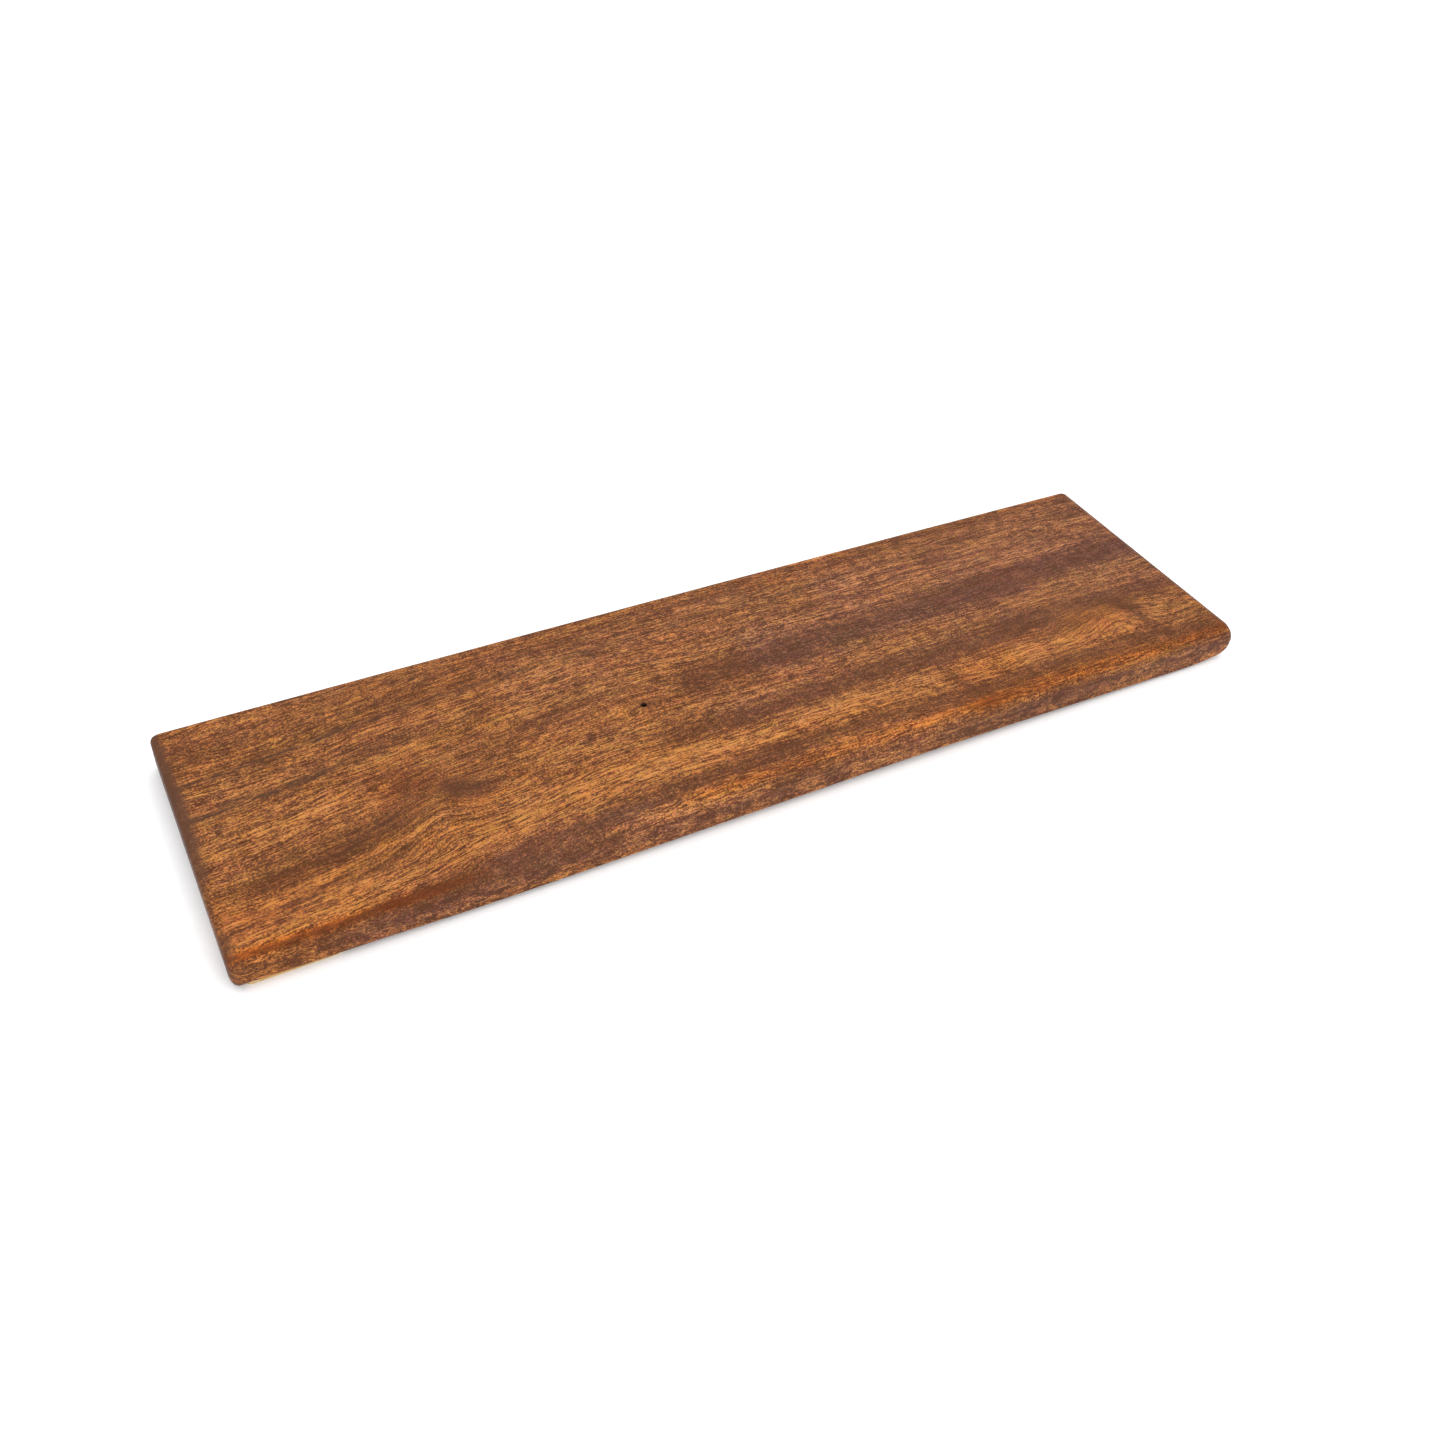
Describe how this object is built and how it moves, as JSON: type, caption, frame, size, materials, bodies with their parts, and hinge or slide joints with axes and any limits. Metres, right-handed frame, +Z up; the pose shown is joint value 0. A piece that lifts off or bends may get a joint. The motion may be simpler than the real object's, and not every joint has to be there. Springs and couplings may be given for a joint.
{
  "type": "wrist rest",
  "caption": "Low hardwood board with a rounded wrist edge and rounded ends, lying on thin anti-slip corner pads, for resting the wrists in front of a compact keyboard.",
  "frame": {"origin": "on the desk surface, under the middle of the board", "axes": "+X along the board's length, to the user's right; -Y is the rounded edge on the wrist side and +Y the square edge on the keyboard side; +Z up through the board's thickness"},
  "size_m": [0.3, 0.082, 0.0115],
  "materials": {
    "wood": "satin oiled mahogany-like hardwood with ribbon-stripe figure",
    "pad": "translucent honey-coloured anti-slip rubber, matte",
    "adhesive": "milky transfer adhesive film"
  },
  "bodies": {
    "root": {"wooden_board": "wood", "front_left_pad": "pad", "front_right_pad": "pad", "back_left_pad": "pad", "back_right_pad": "pad", "front_left_adhesive": "adhesive", "front_right_adhesive": "adhesive", "back_left_adhesive": "adhesive", "back_right_adhesive": "adhesive"}
  },
  "joints": []
}
